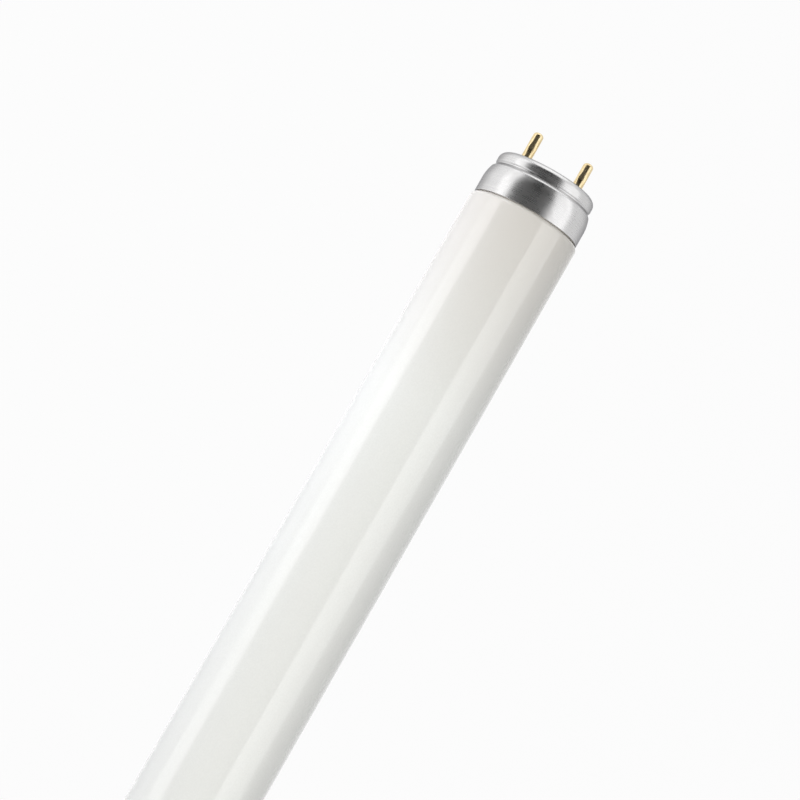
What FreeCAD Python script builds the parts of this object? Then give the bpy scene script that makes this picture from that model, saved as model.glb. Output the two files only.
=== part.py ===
"""Straight fluorescent tube, 26 mm class, with a two-pin cap cemented on each end.

The lamp lies along X and is centred on the origin, with its pins side by side along Y.
Depths are measured along the axis from a cap's end face into the lamp, so a pin's tip has
a negative depth. Each end is drawn once, at +X, and the other end is its mirror image.
All sizes are in millimetres.
"""
import FreeCAD, Part
import math
import os

# Whole lamp
FACE_TO_FACE = 589.8          # between the end faces of the two caps
TUBE_DIAMETER = 25.8          # outside of the glass

# Cap: a cup drawn from thin aluminium sheet
CAP_LENGTH = 10.5             # end face to the edge of the skirt
CAP_WALL = 0.4                # sheet thickness
SKIRT_INSET = 0.45            # skirt lies this far inside the glass's outline
SHOULDER_DROP = 0.55          # fall of the sloping shoulder, from the skirt to the groove
SHOULDER_LENGTH = 1.9         # length of that slope
SHOULDER_ROUND = 8.0          # blend of the shoulder into the skirt
LIP_ROUND = 0.6               # edge between the shoulder and the groove
END_RING_INSET = 0.95         # end ring lies this far inside the skirt
END_RING_ROUND = 1.6          # corner between the end ring and the end face
GROOVE_ENTRY = 0.45           # groove rolled in behind the disc: its slope on the end ring's side
GROOVE_EXIT = 0.85            # its slope on the shoulder's side
GROOVE_DEPTH = 0.4            # below the end ring
GROOVE_BOTTOM_ROUND = 0.25
GROOVE_EDGE_ROUND = 0.5
PIN_WINDOW_MARGIN = 0.4       # bare ring between the pin collars and the hole in the end face

# Insulating disc, held between the end face and the rolled groove
DISC_THICKNESS = 2.2
DISC_BACK_ROUND = 0.3
FIT = 0.02                    # radial clearance of parts that are pressed together

# Contact pins, riveted through the disc
PIN_SPACING = 12.7
PIN_DIAMETER = 2.35
PIN_LENGTH = 7.1              # beyond the cap's end face
PIN_TIP_ROUND = 0.85
COLLAR_DIAMETER = 3.4
COLLAR_THICKNESS = 0.4
TENON_DIAMETER = 2.0          # shank inside the disc
RIVET_DIAMETER = 3.2
RIVET_THICKNESS = 0.4
RIVET_ROUND = 0.2
PIN_BORE_REACH = 2.0          # how far the blind bore runs past the end face

# Glass ends, hidden in the caps
CAVITY_DEPTH = 3.0            # between the disc and the end of the glass
CEMENT_THICKNESS = 0.4
NECK_END_ROUND = 1.2
NECK_CORNER_SETBACK = 0.2     # where the neck starts to widen, inside the skirt's edge
NECK_FLARE_LENGTH = 0.9       # from the neck out to the full diameter
NECK_FLARE_ROUND = 1.0
EXHAUST_DIAMETER = 4.5        # stub of the sealed-off exhaust tube
EXHAUST_LENGTH = 2.2
EXHAUST_TIP_ROUND = 1.6
EXHAUST_ROOT_ROUND = 0.5

# Lead-in wires, from the glass to the pins
LEAD_DIAMETER = 0.5
LEAD_CLEARANCE = 0.05         # around the wire in the pin's bore
LEAD_PITCH = 8.0              # between the two wires where they leave the glass
LEAD_STRAIGHT = 0.7           # straight run at each end of the crossing
LEAD_BEND_RADIUS = 0.6

# Places worked out from the sizes above
FACE_X = FACE_TO_FACE / 2
TUBE_RADIUS = TUBE_DIAMETER / 2
SKIRT_RADIUS = TUBE_RADIUS - SKIRT_INSET
END_RING_RADIUS = SKIRT_RADIUS - END_RING_INSET
DISC_RADIUS = END_RING_RADIUS - CAP_WALL - FIT
DISC_BACK = CAP_WALL + DISC_THICKNESS
RIVET_BACK = DISC_BACK + RIVET_THICKNESS
GLASS_END = DISC_BACK + CAVITY_DEPTH
NECK_RADIUS = SKIRT_RADIUS - CAP_WALL - CEMENT_THICKNESS
NECK_CORNER = CAP_LENGTH - NECK_CORNER_SETBACK
PIN_BORE_RADIUS = LEAD_DIAMETER / 2 + LEAD_CLEARANCE
PIN_WINDOW_RADIUS = (PIN_SPACING + COLLAR_DIAMETER) / 2 + PIN_WINDOW_MARGIN
SIDES = {"front": -1, "back": 1}

ORIGIN = FreeCAD.Vector(0, 0, 0)
LAMP_AXIS = FreeCAD.Vector(1, 0, 0)
UP = FreeCAD.Vector(0, 0, 1)


def at(depth, offset):
    """Point of the +X end at a depth below its end face and an offset from the lamp's axis."""
    return FreeCAD.Vector(FACE_X - depth, offset, 0)


def rounded_edges(corners):
    """Lines through the corners, with a tangent arc wherever a corner has a rounding.

    A corner is (point, rounding). The first and last corners stay sharp.
    """
    edges = []
    start = corners[0][0]
    for (before, _), (corner, rounding), (after, _) in zip(corners, corners[1:], corners[2:]):
        if rounding <= 0:
            edges.append(Part.LineSegment(start, corner).toShape())
            start = corner
            continue
        arriving = (corner - before).normalize()
        leaving = (after - corner).normalize()
        half_turn = arriving.getAngle(leaving) / 2
        reach = rounding * math.tan(half_turn)
        arc_start = corner - arriving * reach
        arc_end = corner + leaving * reach
        inward = (leaving - arriving).normalize()
        arc_middle = corner + inward * (rounding / math.cos(half_turn) - rounding)
        edges.append(Part.LineSegment(start, arc_start).toShape())
        edges.append(Part.Arc(arc_start, arc_middle, arc_end).toShape())
        start = arc_end
    edges.append(Part.LineSegment(start, corners[-1][0]).toShape())
    return edges


def inset_corners(corners, thickness):
    """The same outline, moved to the left of its direction by a sheet's thickness."""
    points = [point for point, _ in corners]
    ways = [(after - before).normalize() for before, after in zip(points, points[1:])]
    moved = []
    for (point, rounding), arriving, leaving in zip(corners, ways[:1] + ways, ways + ways[-1:]):
        aside = UP.cross(arriving) + UP.cross(leaving)
        shift = aside * (2 * thickness / aside.dot(aside))
        bend = arriving.cross(leaving).z
        inner_rounding = rounding - math.copysign(thickness, bend) if rounding > 0 else 0
        moved.append((point + shift, inner_rounding))
    return moved


def spun(corners, centre=ORIGIN):
    """Solid of revolution about an axis along X, from an outline that closes on itself."""
    edges = rounded_edges(corners + [(corners[0][0], 0)])
    return Part.Face(Part.Wire(edges)).revolve(centre, LAMP_AXIS, 360)


def other_end(shape):
    """The matching piece at the -X end."""
    return shape.mirror(ORIGIN, LAMP_AXIS)


def cap_corners():
    """Outside of the cap, from the hole in its end face round to the edge of the skirt."""
    groove_bottom = DISC_BACK + GROOVE_ENTRY
    shoulder_start = groove_bottom + GROOVE_EXIT
    return [
        (at(0, PIN_WINDOW_RADIUS), 0),
        (at(0, END_RING_RADIUS), END_RING_ROUND),
        (at(DISC_BACK, END_RING_RADIUS), GROOVE_EDGE_ROUND),
        (at(groove_bottom, END_RING_RADIUS - GROOVE_DEPTH), GROOVE_BOTTOM_ROUND),
        (at(shoulder_start, SKIRT_RADIUS - SHOULDER_DROP), LIP_ROUND),
        (at(shoulder_start + SHOULDER_LENGTH, SKIRT_RADIUS), SHOULDER_ROUND),
        (at(CAP_LENGTH, SKIRT_RADIUS), 0),
    ]


def make_cap():
    """Drawn aluminium cup with a window for the pins in its end."""
    outside = cap_corners()
    inside = inset_corners(outside, CAP_WALL)
    return spun(outside + inside[::-1])


def make_disc():
    """Insulating disc that fills the end ring, with a hole for each pin."""
    edge_round = END_RING_ROUND - CAP_WALL
    disc = spun([
        (at(CAP_WALL, 0), 0),
        (at(CAP_WALL, DISC_RADIUS), edge_round),
        (at(DISC_BACK, DISC_RADIUS), DISC_BACK_ROUND),
        (at(DISC_BACK, 0), 0),
    ])
    for side in SIDES.values():
        hole_start = at(DISC_BACK, side * PIN_SPACING / 2)
        disc = disc.cut(Part.makeCylinder(TENON_DIAMETER / 2 + FIT, DISC_THICKNESS, hole_start, LAMP_AXIS))
    return disc


def make_pin(side):
    """Brass pin with a collar outside the disc, a rivet head inside it and a blind bore for the wire."""
    middle = side * PIN_SPACING / 2

    def pin_corner(depth, radius, rounding=0):
        return (at(depth, middle + radius), rounding)

    collar_top = CAP_WALL - COLLAR_THICKNESS
    return spun([
        pin_corner(-PIN_LENGTH, 0),
        pin_corner(-PIN_LENGTH, PIN_DIAMETER / 2, PIN_TIP_ROUND),
        pin_corner(collar_top, PIN_DIAMETER / 2),
        pin_corner(collar_top, COLLAR_DIAMETER / 2),
        pin_corner(CAP_WALL, COLLAR_DIAMETER / 2),
        pin_corner(CAP_WALL, TENON_DIAMETER / 2),
        pin_corner(DISC_BACK, TENON_DIAMETER / 2),
        pin_corner(DISC_BACK, RIVET_DIAMETER / 2),
        pin_corner(RIVET_BACK, RIVET_DIAMETER / 2, RIVET_ROUND),
        pin_corner(RIVET_BACK, PIN_BORE_RADIUS),
        pin_corner(-PIN_BORE_REACH, PIN_BORE_RADIUS),
        pin_corner(-PIN_BORE_REACH, 0),
    ], at(0, middle))


def make_lead(side):
    """Lead-in wire that leaves the glass, crosses to its pin and runs up the pin's bore."""
    glass_side = side * LEAD_PITCH / 2
    pin_side = side * PIN_SPACING / 2
    route = [
        (at(GLASS_END, glass_side), 0),
        (at(GLASS_END - LEAD_STRAIGHT, glass_side), LEAD_BEND_RADIUS),
        (at(RIVET_BACK + LEAD_STRAIGHT, pin_side), LEAD_BEND_RADIUS),
        (at(-PIN_BORE_REACH, pin_side), 0),
    ]
    section = Part.Wire(Part.makeCircle(LEAD_DIAMETER / 2, route[0][0], LAMP_AXIS))
    return Part.Wire(rounded_edges(route)).makePipeShell([section], True, False)


def make_cement(glass):
    """Ring of basing cement that fills the skirt around the neck of the glass, flush with the skirt's edge."""
    ring_start = GLASS_END + NECK_END_ROUND
    inside = inset_corners(cap_corners(), CAP_WALL)
    first, last = inside[0][0], inside[-1][0]
    cup_space = spun([(FreeCAD.Vector(first.x, 0, 0), 0)] + inside + [(FreeCAD.Vector(last.x, 0, 0), 0)])
    ring = Part.makeCylinder(SKIRT_RADIUS, CAP_LENGTH - ring_start, at(CAP_LENGTH, 0), LAMP_AXIS)
    return cup_space.common(ring).cut(glass)


def make_glass():
    """Sealed glass tube: one body with necked ends and the stub of its exhaust tube at each end."""
    exhaust_radius = EXHAUST_DIAMETER / 2
    exhaust_end = GLASS_END - EXHAUST_LENGTH
    right_end = [
        (at(exhaust_end, 0), 0),
        (at(exhaust_end, exhaust_radius), EXHAUST_TIP_ROUND),
        (at(GLASS_END, exhaust_radius), EXHAUST_ROOT_ROUND),
        (at(GLASS_END, NECK_RADIUS), NECK_END_ROUND),
        (at(NECK_CORNER, NECK_RADIUS), NECK_FLARE_ROUND),
        (at(NECK_CORNER + NECK_FLARE_LENGTH, TUBE_RADIUS), NECK_FLARE_ROUND),
    ]
    left_end = [(FreeCAD.Vector(-point.x, point.y, 0), rounding) for point, rounding in reversed(right_end)]
    return spun(right_end + left_end)


def make_parts():
    """Every piece of the lamp by its name."""
    glass = make_glass()
    parts = {"glass_tube": glass}
    end_pieces = {"end_cap": make_cap(), "insulating_disc": make_disc(), "basing_cement": make_cement(glass)}
    for side_name, side in SIDES.items():
        end_pieces[f"contact_pin_{side_name}"] = make_pin(side)
        end_pieces[f"lead_wire_{side_name}"] = make_lead(side)
    for name, shape in end_pieces.items():
        parts[f"right_{name}"] = shape
        parts[f"left_{name}"] = other_end(shape)
    return parts


def main():
    os.makedirs("parts", exist_ok=True)
    for name, shape in make_parts().items():
        shape.exportStep(f"parts/{name}.step")
        print(f"{name}: {len(shape.Solids)} solid, valid {shape.isValid()}, {shape.Volume:.2f} mm3")


main()
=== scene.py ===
"""Looks of a straight fluorescent tube with a two-pin cap on each end, around its CAD frame."""
import math

import bmesh
import bpy
from mathutils import Matrix, Vector


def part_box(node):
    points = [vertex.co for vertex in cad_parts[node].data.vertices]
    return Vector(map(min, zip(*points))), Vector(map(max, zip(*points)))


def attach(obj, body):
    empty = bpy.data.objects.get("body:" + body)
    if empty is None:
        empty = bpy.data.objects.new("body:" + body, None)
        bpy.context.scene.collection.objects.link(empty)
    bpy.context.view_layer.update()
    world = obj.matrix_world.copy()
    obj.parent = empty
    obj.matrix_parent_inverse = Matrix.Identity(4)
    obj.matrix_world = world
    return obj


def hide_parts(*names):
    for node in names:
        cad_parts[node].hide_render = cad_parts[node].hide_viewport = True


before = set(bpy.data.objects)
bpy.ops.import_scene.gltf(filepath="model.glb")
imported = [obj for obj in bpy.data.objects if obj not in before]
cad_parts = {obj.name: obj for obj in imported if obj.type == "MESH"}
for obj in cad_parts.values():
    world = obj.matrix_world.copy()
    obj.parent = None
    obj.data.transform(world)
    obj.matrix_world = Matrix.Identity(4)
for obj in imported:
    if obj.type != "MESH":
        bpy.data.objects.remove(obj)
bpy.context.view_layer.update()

MM = 0.001
ENDS = {"right": 1, "left": -1}
SIDES = {"front": -1, "back": 1}

# Sizes read from the frame, in metres
_, glass_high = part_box("glass_tube")
cap_low, cap_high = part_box("right_end_cap")
disc_low, disc_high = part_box("right_insulating_disc")
pin_low, pin_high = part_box("right_contact_pin_back")
FACE_X = cap_high.x
CAP_LENGTH = cap_high.x - cap_low.x
SKIRT_RADIUS = cap_high.y
TUBE_RADIUS = glass_high.y
DISC_FRONT = FACE_X - disc_high.x
DISC_BACK = FACE_X - disc_low.x
DISC_RADIUS = disc_high.y
PIN_MIDDLE = (pin_low.y + pin_high.y) / 2
PIN_TIP = FACE_X - pin_high.x
RIVET_BACK = FACE_X - pin_low.x
COLLAR_RADIUS = (pin_high.y - pin_low.y) / 2
EXHAUST_END = FACE_X - glass_high.x

# Sizes that repeat the CAD's, in metres
CAP_WALL = 0.4 * MM
FIT = 0.02 * MM
END_RING_RADIUS = DISC_RADIUS + CAP_WALL + FIT
END_RING_ROUND = 1.6 * MM
PIN_WINDOW_MARGIN = 0.4 * MM
PIN_WINDOW_RADIUS = PIN_MIDDLE + COLLAR_RADIUS + PIN_WINDOW_MARGIN
GROOVE_ENTRY = 0.45 * MM
GROOVE_EXIT = 0.85 * MM
GROOVE_BOTTOM = DISC_BACK + GROOVE_ENTRY
GROOVE_END = GROOVE_BOTTOM + GROOVE_EXIT
GROOVE_DEPTH = 0.4 * MM
GROOVE_BOTTOM_ROUND = 0.25 * MM
GROOVE_EDGE_ROUND = 0.5 * MM
SHOULDER_DROP = 0.55 * MM
SHOULDER_LENGTH = 1.9 * MM
SHOULDER_ROUND = 8.0 * MM
LIP_ROUND = 0.6 * MM
DISC_BACK_ROUND = 0.3 * MM
PIN_RADIUS = 1.175 * MM
PIN_TIP_ROUND = 0.85 * MM
TENON_RADIUS = 1.0 * MM
RIVET_RADIUS = 1.6 * MM
RIVET_ROUND = 0.2 * MM
EXHAUST_LENGTH = 2.2 * MM
GLASS_END = EXHAUST_END + EXHAUST_LENGTH
EXHAUST_RADIUS = 2.25 * MM
EXHAUST_TIP_ROUND = 1.6 * MM
EXHAUST_ROOT_ROUND = 0.5 * MM
CEMENT_THICKNESS = 0.4 * MM
NECK_RADIUS = SKIRT_RADIUS - CAP_WALL - CEMENT_THICKNESS
NECK_END_ROUND = 1.2 * MM
NECK_CORNER_SETBACK = 0.2 * MM
NECK_CORNER = CAP_LENGTH - NECK_CORNER_SETBACK
NECK_FLARE_LENGTH = 0.9 * MM
NECK_FLARE_ROUND = 1.0 * MM

# Small forms that only the scene has
SKIRT_EDGE_ROUND = 0.18 * MM
PIN_EDGE_ROUND = 0.08 * MM
CRIMP_PLACE = -3.3 * MM            # depth, so a place in front of the end face
CRIMP_REACH = 0.9 * MM
CRIMP_FLAT = 0.22                  # share by which the crimp presses the pin
CRIMP_RING_GAP = CRIMP_REACH / 5   # between the mesh rings that carry the crimp
CRIMP_RINGS = 12                   # of them to each side of its middle

# Mesh fineness
ARC_STEP = math.radians(7)
ROUND_SEGMENTS = 160
PIN_SEGMENTS = 64
SHARP_ANGLE = math.radians(40)
ON_AXIS = 1e-9                     # a smaller radius is a point on the axis

# Colours
POWDER_GREY = (0.865, 0.872, 0.832)
POWDER_WHITE = (0.905, 0.912, 0.872)
POWDER_CLOUD = (0.855, 0.852, 0.820)
# Powder beside the caps: partly its own end greying, partly painted shade for the light that falls off
# towards the caps
POWDER_GREYED_AND_SHADED_BY_CAP = (0.715, 0.686, 0.634)
GREYING_AND_SHADE_LENGTH = 48 * MM           # of glass beside a cap, in which the powder greys and painted shade darkens it
ALUMINIUM_DULL = (0.61, 0.606, 0.610)
ALUMINIUM_BRIGHT = (0.70, 0.695, 0.690)
ALUMINIUM_SMUDGE = (0.57, 0.56, 0.55)
# Painted shade: a grey grazing tint that darkens the cap's reflection towards its rims
ALUMINIUM_RIM_PAINTED_SHADE = (0.35, 0.35, 0.36, 1.0)
BRASS_DARK = (0.72, 0.58, 0.33)
BRASS_LIGHT = (0.86, 0.72, 0.46)
BRASS_TARNISH = (0.50, 0.37, 0.18)
BOARD_DARK = (0.60, 0.575, 0.515)
BOARD_LIGHT = (0.71, 0.69, 0.635)
BOARD_SPECK = (0.40, 0.36, 0.30)
CEMENT_DARK = (0.56, 0.52, 0.45)
CEMENT_LIGHT = (0.74, 0.70, 0.63)
WIRE_GREY = (0.66, 0.64, 0.61)
WIRE_STAIN = (0.46, 0.36, 0.27)
NOISE_RANGE = (0.3, 0.7)           # that a noise mostly keeps to

# Sockets of the colour mix node, by number because its other kinds have the same names
MIX_SHARE, MIX_FIRST, MIX_SECOND, MIX_RESULT = 0, 6, 7, 2

# Camera: where the photographed end shows in the 800 pixel picture
PICTURE_PIXELS = 800
END_PIXEL = (548.8, 177.3)
TUBE_WIDTH_PIXELS = 120.5
AXIS_ANGLE = math.radians(29.7)    # of the tube from the picture's vertical
END_TILT = math.radians(9.7)       # the end leans away from the camera
PIN_TURN = math.radians(-10)       # of the pins about the tube's axis
CAMERA_DISTANCE = 3.0
SENSOR_WIDTH = 36.0

# Floor and room
FLOOR_DROP = 0.50
FLOOR_SIZE = 60.0
FLOOR_SEEN = 0.90
FLOOR_BOUNCE = 0.06
FLOOR_WHITE_SHARE = 0.94
OVERHEAD_GREY = 0.11
OVERHEAD_END_GREY = 0.01
SIDE_GREY = 0.80
END_WHITE = 0.9
CEILING_FADE = (0.22, 0.55)        # of a direction along the tube, from overhead to beyond an end
WALL_TURN = (0.5, 0.9)             # of the same, from a side wall to an end wall
CEILING_EDGE = (0.25, 0.50)        # of a direction upwards, from the walls to the ceiling

# Lamps along the tube, by their angles about it from the view direction, in degrees, positive to the right
TUBE_WAY = Vector((1, 0, 0))
TUBE_MIDDLE = Vector((0, 0, 0))
PHOTO_PLACE = Vector((0.2, 0, 0))
CAP_PLACE = Vector((0.38, 0, 0))
FAR_PLACE = Vector((-0.3, 0, 0))
KEY_ANGLES = (-86, -57)
LOW_ANGLES = (-130, -92)
RIM_ANGLES = (-178, -142)
FILL_ANGLES = (33, 80)
TOP_ANGLES = (-26, 15)
CAP_ANGLES = (-118, -76)
BACK_ANGLES = (-165, -135)
FRONT_ANGLES = (135, 165)
LONG_STRIP = 1.6
FAR_STRIP = 0.9
CAP_STRIP = 0.25
SOFTBOX_DISTANCE = 0.60
CARD_DISTANCE = 0.65
NEAR_DISTANCE = 0.35
CAP_DISTANCE = 0.33
PLAIN_LIGHT = (1.0, 1.0, 1.0)
COOL_LIGHT = (0.91, 0.92, 1.0)

# Lamps beyond the ends of the tube
END_CARD_RISE = math.radians(25)
END_CARD_SIZE = (1.1, 0.40)
END_SOFTBOX_SIZE = (1.0, 0.5)
END_PANEL_SIZE = (0.5, 0.5)
END_DISTANCE = 1.2
END_PANEL_DISTANCE = 2.0


# Meshes


def rounded_outline(corners):
    """Points of an outline through (depth, radius, rounding) corners, with arcs in steps."""
    outline = [Vector(corners[0][:2])]
    for before, corner, after in zip(corners, corners[1:], corners[2:]):
        point, rounding = Vector(corner[:2]), corner[2]
        if rounding <= 0:
            outline.append(point)
            continue
        arriving = (point - Vector(before[:2])).normalized()
        leaving = (Vector(after[:2]) - point).normalized()
        turn = arriving.angle(leaving)
        inward = (leaving - arriving).normalized()
        centre = point + inward * (rounding / math.cos(turn / 2))
        steps = max(2, math.ceil(turn / ARC_STEP))
        start = point - arriving * (rounding * math.tan(turn / 2)) - centre
        side = math.copysign(1, arriving.x * leaving.y - arriving.y * leaving.x)
        for index in range(steps + 1):
            outline.append(centre + Matrix.Rotation(side * turn * index / steps, 2) @ start)
    outline.append(Vector(corners[-1][:2]))
    return outline


def inset_corners(corners, thickness):
    """The same outline, moved to the right of its direction by a sheet's thickness."""
    points = [Vector(corner[:2]) for corner in corners]
    ways = [(after - before).normalized() for before, after in zip(points, points[1:])]
    moved = []
    for corner, arriving, leaving in zip(corners, ways[:1] + ways, ways + ways[-1:]):
        aside = Vector((arriving.y + leaving.y, -arriving.x - leaving.x))
        point = Vector(corner[:2]) + aside * (2 * thickness / aside.dot(aside))
        bend = arriving.x * leaving.y - arriving.y * leaving.x
        rounding = corner[2] + math.copysign(thickness, bend) if corner[2] > 0 else 0
        moved.append((point.x, point.y, rounding))
    return moved


def lathe(name, outline, way, middle=0.0, segments=ROUND_SEGMENTS):
    """Closed mesh turned about an axis along X, from a closed outline of (depth, radius) points."""
    mesh = bpy.data.meshes.new(name)
    builder = bmesh.new()
    rings = []
    for depth, radius in outline:
        x = way * (FACE_X - depth)
        if radius < ON_AXIS:
            rings.append([builder.verts.new((x, middle, 0))])
            continue
        angles = [2 * math.pi * index / segments for index in range(segments)]
        rings.append([
            builder.verts.new((x, middle + radius * math.cos(angle), radius * math.sin(angle)))
            for angle in angles
        ])
    for ring, following in zip(rings, rings[1:] + rings[:1]):
        if len(ring) == 1 and len(following) == 1:
            continue
        for index in range(segments):
            after = (index + 1) % segments
            corners = [ring[index % len(ring)], ring[after % len(ring)]]
            corners += [following[after % len(following)], following[index % len(following)]]
            builder.faces.new(list(dict.fromkeys(corners)))
    bmesh.ops.recalc_face_normals(builder, faces=builder.faces)
    builder.to_mesh(mesh)
    builder.free()
    mesh.shade_smooth()
    mesh.set_sharp_from_angle(angle=SHARP_ANGLE)
    piece = bpy.data.objects.new(name, mesh)
    bpy.context.scene.collection.objects.link(piece)
    return piece


def place(piece, node, material):
    """Puts a made piece in the place of its CAD node."""
    piece.data.materials.append(material)
    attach(piece, "root")
    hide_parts(node)


# Materials


def node_adder(tree):
    """Function that adds a node with its settings, and its inputs as values or as other nodes' outputs."""
    def add(kind, inputs=None, **settings):
        node = tree.nodes.new(kind)
        for key, value in settings.items():
            setattr(node, key, value)
        for key, value in (inputs or {}).items():
            if isinstance(value, bpy.types.NodeSocket):
                tree.links.new(value, node.inputs[key])
            else:
                node.inputs[key].default_value = value
        return node

    return add


def new_material(name):
    """Node material with its shader, and functions that add a node and join two sockets."""
    material = bpy.data.materials.new(name)
    material.use_nodes = True
    tree = material.node_tree
    return material, tree.nodes["Principled BSDF"], node_adder(tree), tree.links.new


def stretched_noise(add, stretch, scale, detail=3.0, roughness=0.55):
    """Noise over the piece's own metres, stretched by a factor along each axis."""
    place_in_object = add("ShaderNodeTexCoord").outputs["Object"]
    mapped = add("ShaderNodeMapping", {"Vector": place_in_object, "Scale": stretch}).outputs["Vector"]
    settings = {"Vector": mapped, "Scale": scale, "Detail": detail, "Roughness": roughness}
    return add("ShaderNodeTexNoise", settings).outputs["Fac"]


def ranged(add, value, low, high, new_low, new_high):
    """A value mapped from one range to another, kept inside it."""
    inputs = {"Value": value, "From Min": low, "From Max": high, "To Min": new_low, "To Max": new_high}
    return add("ShaderNodeMapRange", inputs).outputs["Result"]


def spread(add, noise, low=0, high=1):
    """A noise mapped from the range that it mostly keeps to."""
    return ranged(add, noise, *NOISE_RANGE, low, high)


def mixed(add, share, first, second):
    """Two colours, each a value or a socket, mixed by a share."""
    inputs = {MIX_SHARE: share, MIX_FIRST: first, MIX_SECOND: second}
    for key in (MIX_FIRST, MIX_SECOND):
        if not isinstance(inputs[key], bpy.types.NodeSocket):
            inputs[key] = (*inputs[key], 1.0)
    return add("ShaderNodeMix", inputs, data_type="RGBA").outputs[MIX_RESULT]


def glass_material():
    """Clear glass over a white powder lining, darker towards the caps: partly the powder's own end greying,
    partly painted shade for the light that falls off there.
    """
    material, shader, add, join = new_material("coated_glass")
    grain = stretched_noise(add, (1, 1, 1), 2600, detail=2.0)
    clouds = stretched_noise(add, (0.35, 1, 1), 70, detail=2.0)
    powder = mixed(add, spread(add, grain), POWDER_GREY, POWDER_WHITE)
    lining = mixed(add, spread(add, clouds, 0, 0.3), powder, POWDER_CLOUD)
    place_in_object = add("ShaderNodeTexCoord").outputs["Object"]
    along = add("ShaderNodeSeparateXYZ", {"Vector": place_in_object}).outputs["X"]
    from_middle = add("ShaderNodeMath", {0: along}, operation="ABSOLUTE").outputs["Value"]
    skirt_edge = FACE_X - CAP_LENGTH
    # Painted shade with the powder's own greying: the lining darkens over the glass beside each cap
    greying_and_shade = ranged(add, from_middle, skirt_edge - GREYING_AND_SHADE_LENGTH, skirt_edge, 0, 1)
    join(mixed(add, greying_and_shade, lining, POWDER_GREYED_AND_SHADED_BY_CAP), shader.inputs["Base Color"])
    ripple = stretched_noise(add, (0.25, 1, 1), 160, detail=1.0)
    bump = add("ShaderNodeBump", {"Height": ripple, "Strength": 0.25, "Distance": 0.04 * MM})
    join(bump.outputs["Normal"], shader.inputs["Coat Normal"])
    shader.inputs["Roughness"].default_value = 0.75
    shader.inputs["Specular IOR Level"].default_value = 0.1
    shader.inputs["Coat Weight"].default_value = 1.0
    shader.inputs["Coat Roughness"].default_value = 0.035
    shader.inputs["Coat IOR"].default_value = 1.7
    return material


def aluminium_material():
    """Bright drawn aluminium with fine rings from drawing and light smudges from handling, its rims darkened
    by painted shade in a grey grazing tint.
    """
    material, shader, add, join = new_material("cap_aluminium")
    rings = stretched_noise(add, (260, 1, 1), 45, detail=4.0)
    smudges = stretched_noise(add, (1, 1, 1), 260, detail=4.0, roughness=0.65)
    colour = mixed(add, spread(add, rings), ALUMINIUM_DULL, ALUMINIUM_BRIGHT)
    stained = mixed(add, ranged(add, smudges, 0.5, 0.75, 0, 0.5), colour, ALUMINIUM_SMUDGE)
    join(stained, shader.inputs["Base Color"])
    ring_roughness = spread(add, rings, 0.24, 0.31)
    smudge_roughness = ranged(add, smudges, 0.45, 0.75, 0.0, 0.10)
    total = add("ShaderNodeMath", {0: ring_roughness, 1: smudge_roughness}, operation="ADD")
    join(total.outputs["Value"], shader.inputs["Roughness"])
    bump = add("ShaderNodeBump", {"Height": rings, "Strength": 0.2, "Distance": 0.005 * MM})
    join(bump.outputs["Normal"], shader.inputs["Normal"])
    shader.inputs["Metallic"].default_value = 1.0
    # Painted shade on the rims: the grey grazing tint darkens the metal's edge reflection
    shader.inputs["Specular Tint"].default_value = ALUMINIUM_RIM_PAINTED_SHADE
    return material


def brass_material():
    """Drawn brass with fine lines along the pin and a thin brown tarnish."""
    material, shader, add, join = new_material("pin_brass")
    lines = stretched_noise(add, (1, 40, 40), 220, detail=3.0)
    tarnish = stretched_noise(add, (0.6, 1, 1), 900, detail=4.0, roughness=0.65)
    colour = mixed(add, spread(add, lines), BRASS_DARK, BRASS_LIGHT)
    dulled = mixed(add, ranged(add, tarnish, 0.45, 0.75, 0, 0.7), colour, BRASS_TARNISH)
    join(dulled, shader.inputs["Base Color"])
    join(ranged(add, tarnish, 0.35, 0.75, 0.14, 0.34), shader.inputs["Roughness"])
    bump = add("ShaderNodeBump", {"Height": lines, "Strength": 0.25, "Distance": 0.008 * MM})
    join(bump.outputs["Normal"], shader.inputs["Normal"])
    shader.inputs["Metallic"].default_value = 1.0
    return material


def disc_material():
    """Pressed insulating board with a fine fibre and darker specks."""
    material, shader, add, join = new_material("disc_plastic")
    fibre = stretched_noise(add, (1, 1, 5), 900, detail=5.0, roughness=0.7)
    specks = stretched_noise(add, (1, 1, 1), 3200, detail=1.0)
    board = mixed(add, spread(add, fibre), BOARD_DARK, BOARD_LIGHT)
    speckled = mixed(add, ranged(add, specks, 0.62, 0.70, 0, 0.6), board, BOARD_SPECK)
    join(speckled, shader.inputs["Base Color"])
    join(spread(add, fibre, 0.48, 0.66), shader.inputs["Roughness"])
    bump = add("ShaderNodeBump", {"Height": fibre, "Strength": 0.4, "Distance": 0.03 * MM})
    join(bump.outputs["Normal"], shader.inputs["Normal"])
    return material


def cement_material():
    """Cured basing cement, beige and grainy."""
    material, shader, add, join = new_material("basing_cement")
    grain = stretched_noise(add, (1, 1, 1), 2200, detail=5.0, roughness=0.7)
    join(mixed(add, spread(add, grain), CEMENT_DARK, CEMENT_LIGHT), shader.inputs["Base Color"])
    bump = add("ShaderNodeBump", {"Height": grain, "Strength": 0.6, "Distance": 0.05 * MM})
    join(bump.outputs["Normal"], shader.inputs["Normal"])
    shader.inputs["Roughness"].default_value = 0.9
    return material


def wire_material():
    """Plated lead-in wire, grey with faint heat stains."""
    material, shader, add, join = new_material("lead_wire")
    stains = stretched_noise(add, (1, 1, 1), 1500, detail=3.0)
    stained = mixed(add, ranged(add, stains, 0.4, 0.7, 0, 1), WIRE_GREY, WIRE_STAIN)
    join(stained, shader.inputs["Base Color"])
    join(spread(add, stains, 0.22, 0.42), shader.inputs["Roughness"])
    shader.inputs["Metallic"].default_value = 1.0
    return material


# Pieces


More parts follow.
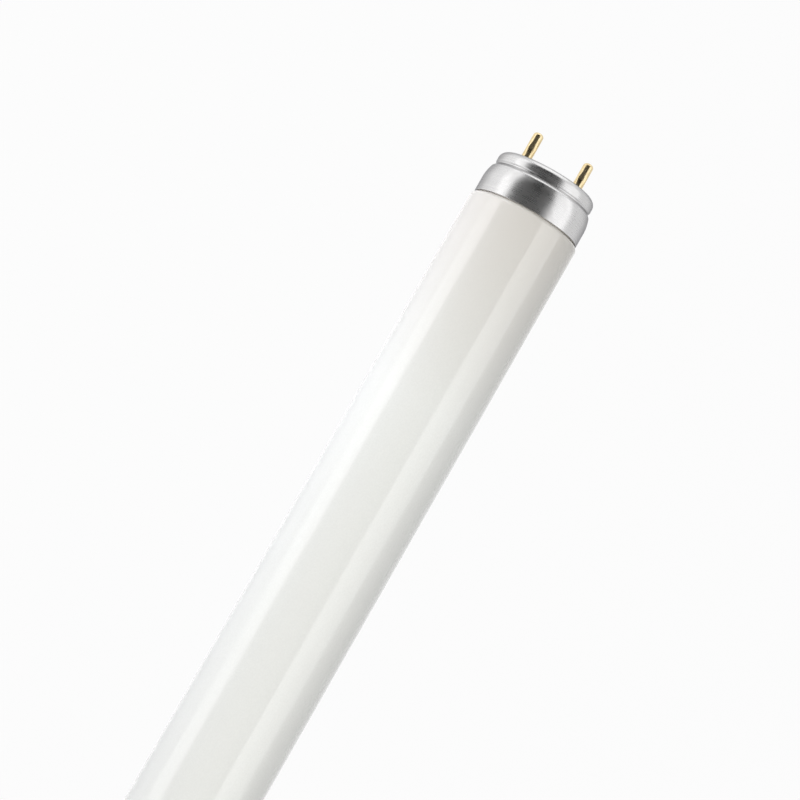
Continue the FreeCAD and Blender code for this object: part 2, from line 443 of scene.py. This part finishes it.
def cap_outline():
    """Section of the drawn cap: its outside, the turned edge of the skirt, and its inside."""
    outside = [
        (0, PIN_WINDOW_RADIUS, 0),
        (0, END_RING_RADIUS, END_RING_ROUND),
        (DISC_BACK, END_RING_RADIUS, GROOVE_EDGE_ROUND),
        (GROOVE_BOTTOM, END_RING_RADIUS - GROOVE_DEPTH, GROOVE_BOTTOM_ROUND),
        (GROOVE_END, SKIRT_RADIUS - SHOULDER_DROP, LIP_ROUND),
        (GROOVE_END + SHOULDER_LENGTH, SKIRT_RADIUS, SHOULDER_ROUND),
        (CAP_LENGTH, SKIRT_RADIUS, 0),
    ]
    inside = inset_corners(outside, CAP_WALL)
    edge_radii = (SKIRT_RADIUS, SKIRT_RADIUS - CAP_WALL)
    edge = [(CAP_LENGTH, radius, SKIRT_EDGE_ROUND) for radius in edge_radii]
    return rounded_outline(outside[:-1] + edge + inside[-2::-1])


def disc_outline():
    """Section of the insulating disc, without its pin holes, which the pins fill."""
    return rounded_outline([
        (DISC_FRONT, 0, 0),
        (DISC_FRONT, DISC_RADIUS, END_RING_ROUND - CAP_WALL),
        (DISC_BACK, DISC_RADIUS, DISC_BACK_ROUND),
        (DISC_BACK, 0, 0),
    ])


def pin_outline():
    """Section of a contact pin from its tip to its rivet head, with rings for the crimp in its shank."""
    steps = range(-CRIMP_RINGS, CRIMP_RINGS + 1)
    crimp_rings = [(CRIMP_PLACE + step * CRIMP_RING_GAP, PIN_RADIUS, 0) for step in steps]
    return rounded_outline([
        (PIN_TIP, 0, 0),
        (PIN_TIP, PIN_RADIUS, PIN_TIP_ROUND),
        *crimp_rings,
        (0, PIN_RADIUS, PIN_EDGE_ROUND),
        (0, COLLAR_RADIUS, PIN_EDGE_ROUND),
        (DISC_FRONT, COLLAR_RADIUS, 0),
        (DISC_FRONT, TENON_RADIUS, 0),
        (DISC_BACK, TENON_RADIUS, 0),
        (DISC_BACK, RIVET_RADIUS, 0),
        (RIVET_BACK, RIVET_RADIUS, RIVET_ROUND),
        (RIVET_BACK, 0, 0),
    ])


def crimp(pin):
    """Presses the hollow shank of a pin flat from above and below, where it grips its wire."""
    for vertex in pin.data.vertices:
        depth = FACE_X - abs(vertex.co.x)
        press = CRIMP_FLAT * math.exp(-((depth - CRIMP_PLACE) / CRIMP_REACH) ** 2)
        vertex.co.z *= 1 - press * (vertex.co.z / PIN_RADIUS) ** 2


def glass_outline():
    """Section of the whole glass tube, from one exhaust stub to the other."""
    right_end = [
        (EXHAUST_END, 0, 0),
        (EXHAUST_END, EXHAUST_RADIUS, EXHAUST_TIP_ROUND),
        (GLASS_END, EXHAUST_RADIUS, EXHAUST_ROOT_ROUND),
        (GLASS_END, NECK_RADIUS, NECK_END_ROUND),
        (NECK_CORNER, NECK_RADIUS, NECK_FLARE_ROUND),
        (NECK_CORNER + NECK_FLARE_LENGTH, TUBE_RADIUS, NECK_FLARE_ROUND),
    ]
    left_end = [(2 * FACE_X - depth, radius, rounding) for depth, radius, rounding in reversed(right_end)]
    return rounded_outline(right_end + left_end)


def build_lamp():
    """Makes every visible piece, dresses the hidden CAD ones and returns the pieces of the two caps."""
    cap_pieces = bpy.data.collections.new("cap_pieces")
    glass, aluminium, brass = glass_material(), aluminium_material(), brass_material()
    board, cement, wire = disc_material(), cement_material(), wire_material()
    place(lathe("coated_glass_tube", glass_outline(), 1), "glass_tube", glass)
    for end, way in ENDS.items():
        cap = lathe(f"{end}_drawn_cap", cap_outline(), way)
        place(cap, f"{end}_end_cap", aluminium)
        cap_pieces.objects.link(cap)
        disc = lathe(f"{end}_disc", disc_outline(), way)
        place(disc, f"{end}_insulating_disc", board)
        cap_pieces.objects.link(disc)
        dressed = {f"{end}_basing_cement": cement}
        for side, across in SIDES.items():
            pin = lathe(f"{end}_pin_{side}", pin_outline(), way, across * PIN_MIDDLE, PIN_SEGMENTS)
            crimp(pin)
            place(pin, f"{end}_contact_pin_{side}", brass)
            cap_pieces.objects.link(pin)
            dressed[f"{end}_lead_wire_{side}"] = wire
        for node, material in dressed.items():
            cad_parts[node].data.materials.clear()
            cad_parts[node].data.materials.append(material)
    return cap_pieces


# Camera, floor, room and lamps


def view_axes():
    """Directions of the picture's right and up, of the camera, and across the tube in the picture."""
    back = Matrix.Rotation(PIN_TURN, 3, "X") @ Vector((-math.sin(END_TILT), 0, math.cos(END_TILT)))
    along = (TUBE_WAY - back * TUBE_WAY.dot(back)).normalized()
    across = along.cross(back)
    right = along * math.sin(AXIS_ANGLE) + across * math.cos(AXIS_ANGLE)
    up = along * math.cos(AXIS_ANGLE) - across * math.sin(AXIS_ANGLE)
    return right, up, back, across


def add_camera():
    """Long lens that looks down on the photographed end."""
    right, up, back, _ = view_axes()
    metres_per_pixel = 2 * TUBE_RADIUS / TUBE_WIDTH_PIXELS
    half = PICTURE_PIXELS / 2
    offset = right * (END_PIXEL[0] - half) + up * (half - END_PIXEL[1])
    target = Vector((FACE_X, 0, 0)) - offset * metres_per_pixel
    data = bpy.data.cameras.new("camera")
    data.sensor_width = SENSOR_WIDTH
    data.lens = SENSOR_WIDTH * CAMERA_DISTANCE / (PICTURE_PIXELS * metres_per_pixel)
    camera = bpy.data.objects.new("camera", data)
    axes = Matrix((right, up, back)).transposed().to_4x4()
    camera.matrix_world = Matrix.Translation(target + back * CAMERA_DISTANCE) @ axes
    bpy.context.scene.collection.objects.link(camera)
    bpy.context.scene.camera = camera


def seen_share(add):
    """1 for rays from the camera, a gloss or a clear surface, and 0 for the rays that only carry light."""
    path = add("ShaderNodeLightPath")
    total = path.outputs["Is Camera Ray"]
    for name in ("Is Glossy Ray", "Is Transmission Ray"):
        total = add("ShaderNodeMath", {0: total, 1: path.outputs[name]}, operation="MAXIMUM").outputs["Value"]
    return total


def add_floor():
    """Wide floor below the lamp, which shows white, takes the lamp's shadow and throws back little light."""
    mesh = bpy.data.meshes.new("floor")
    half = FLOOR_SIZE / 2
    z = -FLOOR_DROP
    corners = [(-half, -half, z), (half, -half, z), (half, half, z), (-half, half, z)]
    mesh.from_pydata(corners, [], [(0, 1, 2, 3)])
    floor = bpy.data.objects.new("floor", mesh)
    material = bpy.data.materials.new("pale_floor")
    material.use_nodes = True
    add = node_adder(material.node_tree)
    seen = seen_share(add)
    diffuse = add("ShaderNodeBsdfDiffuse", {"Color": ranged(add, seen, 0, 1, FLOOR_BOUNCE, FLOOR_SEEN)})
    glow = add("ShaderNodeEmission")
    white = ranged(add, seen, 0, 1, 0, FLOOR_WHITE_SHARE)
    surface = add("ShaderNodeMixShader", {0: white, 1: diffuse.outputs["BSDF"], 2: glow.outputs["Emission"]})
    material_output = material.node_tree.nodes["Material Output"]
    material.node_tree.links.new(surface.outputs["Shader"], material_output.inputs["Surface"])
    mesh.materials.append(material)
    bpy.context.scene.collection.objects.link(floor)


def add_world():
    """Studio room that gives little light: dark ceiling, grey walls at the sides, pale walls at the ends."""
    world = bpy.data.worlds.new("studio")
    bpy.context.scene.world = world
    world.use_nodes = True
    add = node_adder(world.node_tree)
    direction = add("ShaderNodeSeparateXYZ", {"Vector": add("ShaderNodeTexCoord").outputs["Generated"]})
    endways = add("ShaderNodeMath", {0: direction.outputs["X"]}, operation="ABSOLUTE").outputs["Value"]
    wall = ranged(add, endways, *WALL_TURN, SIDE_GREY, END_WHITE)
    ceiling = ranged(add, endways, *CEILING_FADE, OVERHEAD_GREY, OVERHEAD_END_GREY)
    room = ranged(add, direction.outputs["Z"], *CEILING_EDGE, wall, ceiling)
    light = ranged(add, seen_share(add), 0, 1, OVERHEAD_GREY, room)
    world.node_tree.links.new(light, world.node_tree.nodes["Background"].inputs["Color"])


def around_tube(angle):
    """Direction at an angle about the tube's axis from the view direction, positive to the right."""
    _, _, back, across = view_axes()
    overhead = (back - TUBE_WAY * TUBE_WAY.dot(back)).normalized()
    return overhead * math.cos(angle) + across * math.sin(angle)


def add_softbox(name, facing, towards, long_way, size, distance, radiance, colour=PLAIN_LIGHT):
    """Flat lamp of a length and width that faces a place from a direction."""
    data = bpy.data.lights.new(name, "AREA")
    data.shape = "RECTANGLE"
    data.size, data.size_y = size
    data.color = colour
    data.energy = radiance * math.pi * data.size * data.size_y
    lamp = bpy.data.objects.new(name, data)
    axes = Matrix((long_way, towards.cross(long_way), towards)).transposed().to_4x4()
    lamp.matrix_world = Matrix.Translation(facing + towards * distance) @ axes
    lamp.visible_camera = False
    bpy.context.scene.collection.objects.link(lamp)
    return lamp


def add_strip(name, facing, angles, length, distance, radiance, colour=PLAIN_LIGHT):
    """Lamp along the tube that fills a range of angles about it."""
    low, high = (math.radians(angle) for angle in angles)
    width = 2 * distance * math.tan((high - low) / 2)
    towards = around_tube((low + high) / 2)
    return add_softbox(name, facing, towards, TUBE_WAY, (length, width), distance, radiance, colour)


def add_side_lamps():
    """Lamps along the tube: cards that only show in reflections and panels that only give light."""
    add_strip("fill_softbox", PHOTO_PLACE, FILL_ANGLES, LONG_STRIP, SOFTBOX_DISTANCE, radiance=0.54)
    cards = [
        add_strip("key_card", PHOTO_PLACE, KEY_ANGLES, LONG_STRIP, CARD_DISTANCE, radiance=0.88),
        add_strip("low_card", PHOTO_PLACE, LOW_ANGLES, LONG_STRIP, CARD_DISTANCE, radiance=0.24),
        add_strip("rim_card", PHOTO_PLACE, RIM_ANGLES, LONG_STRIP, NEAR_DISTANCE, radiance=0.16),
        add_strip("fill_card", PHOTO_PLACE, FILL_ANGLES, LONG_STRIP, CARD_DISTANCE, radiance=0.76),
    ]
    panels = [
        add_strip("overhead_panel", PHOTO_PLACE, TOP_ANGLES, LONG_STRIP, SOFTBOX_DISTANCE, radiance=2.35),
        add_strip(
            "cap_panel", CAP_PLACE, CAP_ANGLES, CAP_STRIP, CAP_DISTANCE, radiance=6.2, colour=COOL_LIGHT),
        add_strip("back_panel", FAR_PLACE, BACK_ANGLES, FAR_STRIP, NEAR_DISTANCE, radiance=3.0),
        add_strip("front_panel", TUBE_MIDDLE, FRONT_ANGLES, LONG_STRIP, NEAR_DISTANCE, radiance=3.0),
    ]
    for card in cards:
        card.visible_diffuse = False
    for panel in panels:
        panel.visible_glossy = False


def add_end_lamps(cap_pieces):
    """A raised card, a softbox and a panel beyond each end, which light the caps' pieces alone."""
    overhead, aside = around_tube(0), around_tube(math.pi / 2)
    for end, way in ENDS.items():
        outward, across = TUBE_WAY * way, Vector((0, way, 0))
        end_face = outward * FACE_X
        raised = outward * math.cos(END_CARD_RISE) + overhead * math.sin(END_CARD_RISE)
        card = add_softbox(
            f"{end}_end_card", end_face, raised, aside * way, END_CARD_SIZE, END_DISTANCE, radiance=0.95)
        softbox = add_softbox(
            f"{end}_end_softbox", TUBE_MIDDLE, outward, across, END_SOFTBOX_SIZE, END_DISTANCE, radiance=0.6)
        panel = add_softbox(
            f"{end}_end_panel", TUBE_MIDDLE, outward, across, END_PANEL_SIZE, END_PANEL_DISTANCE, radiance=16)
        card.visible_diffuse = False
        panel.visible_glossy = False
        for lamp in (card, softbox, panel):
            lamp.light_linking.receiver_collection = cap_pieces


bpy.context.scene.view_settings.view_transform = "Standard"
cap_pieces = build_lamp()
add_camera()
add_floor()
add_world()
add_side_lamps()
add_end_lamps(cap_pieces)
